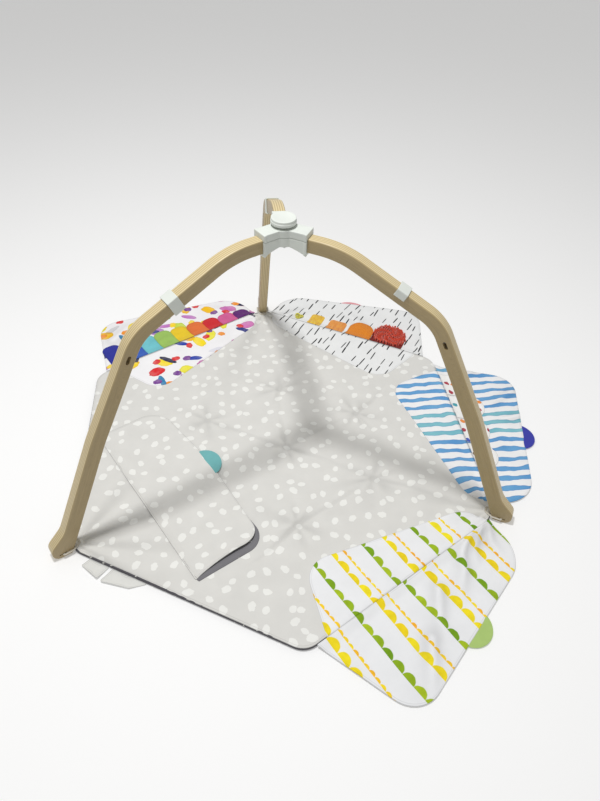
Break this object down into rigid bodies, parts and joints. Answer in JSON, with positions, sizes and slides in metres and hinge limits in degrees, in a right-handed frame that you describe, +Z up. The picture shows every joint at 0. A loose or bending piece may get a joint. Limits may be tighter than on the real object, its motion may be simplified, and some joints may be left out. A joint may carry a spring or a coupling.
{
  "type": "activity play gym",
  "caption": "Baby play gym: bent plywood legs joined by a knob-clamped hub over a padded six-sided mat with printed play zones and fold-over flaps.",
  "frame": {"origin": "on the floor under the middle of the hub, in the plane of the mat's underside", "axes": "+Z up; +Y towards the back leg; +X towards the striped flap"},
  "size_m": [1.1807, 1.2677, 0.6065],
  "materials": {
    "plywood": "clear satin lacquer over beech veneer, plies showing on the cut edges",
    "moulded_white": "fine satin moulding",
    "steel": "turned",
    "brass": "turned",
    "grey_dot_cloth": "plain weave cotton printed with off-white spots",
    "dark_cloth": "plain weave cotton",
    "wadding": "polyester wadding",
    "webbing": "woven tape",
    "print_colours": "cotton printed with watercolour dabs",
    "print_textures": "cotton printed with short black strokes",
    "print_waves": "cotton printed with wavy blue stripes",
    "print_scallops": "cotton printed with rows of scallops",
    "print_focus": "cotton printed dark with small pale marks",
    "felt_teal": "faced felt",
    "felt_blue": "faced felt",
    "felt_lime": "faced felt",
    "felt_pink": "faced felt",
    "page_purple": "brushed cotton page",
    "page_pink": "brushed cotton page",
    "page_red": "brushed cotton page",
    "page_orange": "brushed cotton page",
    "page_yellow": "brushed cotton page",
    "page_green": "brushed cotton page",
    "page_cyan": "brushed cotton page",
    "page_blue": "brushed cotton page",
    "page_navy": "brushed cotton page",
    "texture_knot": "knotted cord",
    "texture_yellow_satin": "satin",
    "texture_orange_satin": "satin",
    "texture_corduroy": "corduroy",
    "texture_chenille": "looped chenille",
    "peek_white": "cotton page",
    "label_white": "coated label tape, left blank"
  },
  "bodies": {
    "root": {"hub_body": "moulded_white", "nut_insert": "brass", "leg_back": "plywood", "leg_left": "plywood", "leg_right": "plywood", "corner_loop_back": "webbing", "corner_loop_left": "webbing", "corner_loop_right": "webbing", "mat_underside": "dark_cloth", "mat_wadding": "wadding", "mat_top": "grey_dot_cloth", "mat_binding": "dark_cloth", "panel_colours": "print_colours", "panel_textures": "print_textures", "panel_waves": "print_waves", "panel_scallops": "print_scallops", "panel_focus": "print_focus", "care_label_long": "label_white", "care_label_short": "label_white"},
    "hub_cap": {"hub_cap": "moulded_white", "washer": "steel"},
    "knob": {"knob": "moulded_white", "clamp_stud": "steel"},
    "clip_back": {"clip_back": "moulded_white"},
    "clip_left": {"clip_left": "moulded_white"},
    "clip_right": {"clip_right": "moulded_white"},
    "flap_colours": {"flap_colours": "print_colours", "lining_colours": "grey_dot_cloth", "page_purple": "page_purple", "page_pink": "page_pink", "page_red": "page_red", "page_orange": "page_orange", "page_yellow": "page_yellow", "page_green": "page_green", "page_cyan": "page_cyan", "page_blue": "page_blue", "page_navy": "page_navy"},
    "flap_textures": {"flap_textures": "print_textures", "lining_textures": "grey_dot_cloth", "tab_textures": "felt_pink", "texture_knot": "texture_knot", "texture_yellow_satin": "texture_yellow_satin", "texture_orange_satin": "texture_orange_satin", "texture_corduroy": "texture_corduroy", "texture_chenille": "texture_chenille"},
    "flap_waves": {"flap_waves": "print_waves", "lining_waves": "grey_dot_cloth", "tab_waves": "felt_blue", "peek_first": "peek_white", "peek_second": "peek_white", "peek_third": "peek_white", "peek_fourth": "peek_white"},
    "flap_scallops": {"flap_scallops": "print_scallops", "lining_scallops": "grey_dot_cloth", "tab_scallops": "felt_lime"},
    "flap_focus": {"flap_focus": "print_focus", "lining_focus": "grey_dot_cloth", "tab_focus": "felt_teal"}
  },
  "joints": [
    {"name": "cap_lift", "type": "slide", "parent": "root", "child": "hub_cap", "axis": [0, 0, 1], "range_m": [0, 0.0045]},
    {"name": "knob_turn", "type": "hinge", "parent": "hub_cap", "child": "knob", "pos_m": [0, 0, 0.6], "axis": [0, 0, 1], "range_deg": [0, 1080]},
    {"name": "clip_slide_back", "type": "slide", "parent": "root", "child": "clip_back", "axis": [0, 0.9063, -0.4226], "range_m": [-0.07, 0.04]},
    {"name": "clip_slide_left", "type": "slide", "parent": "root", "child": "clip_left", "axis": [-0.7849, -0.4532, -0.4226], "range_m": [-0.07, 0.04]},
    {"name": "clip_slide_right", "type": "slide", "parent": "root", "child": "clip_right", "axis": [0.7849, -0.4532, -0.4226], "range_m": [-0.07, 0.04]},
    {"name": "flap_fold_colours", "type": "hinge", "parent": "root", "child": "flap_colours", "pos_m": [-0.23642, 0.4095, 0.0095], "axis": [0.866, 0.5, 0], "range_deg": [0, 178]},
    {"name": "flap_fold_textures", "type": "hinge", "parent": "root", "child": "flap_textures", "pos_m": [0.23642, 0.4095, 0.0095], "axis": [0.866, -0.5, 0], "range_deg": [0, 174]},
    {"name": "flap_fold_waves", "type": "hinge", "parent": "root", "child": "flap_waves", "pos_m": [0.47285, 0, 0.0095], "axis": [0, -1, 0], "range_deg": [0, 170]},
    {"name": "flap_fold_scallops", "type": "hinge", "parent": "root", "child": "flap_scallops", "pos_m": [0.23642, -0.4095, 0.0095], "axis": [-0.866, -0.5, 0], "range_deg": [0, 178]},
    {"name": "flap_fold_focus", "type": "hinge", "parent": "root", "child": "flap_focus", "pos_m": [-0.31696, -0.183, 0.0123], "axis": [0.5, -0.866, 0], "range_deg": [0, 105]}
  ],
  "couplings": [
    {"joint": "knob_turn", "follows": "cap_lift", "rad_per_m": 4188.8}
  ]
}
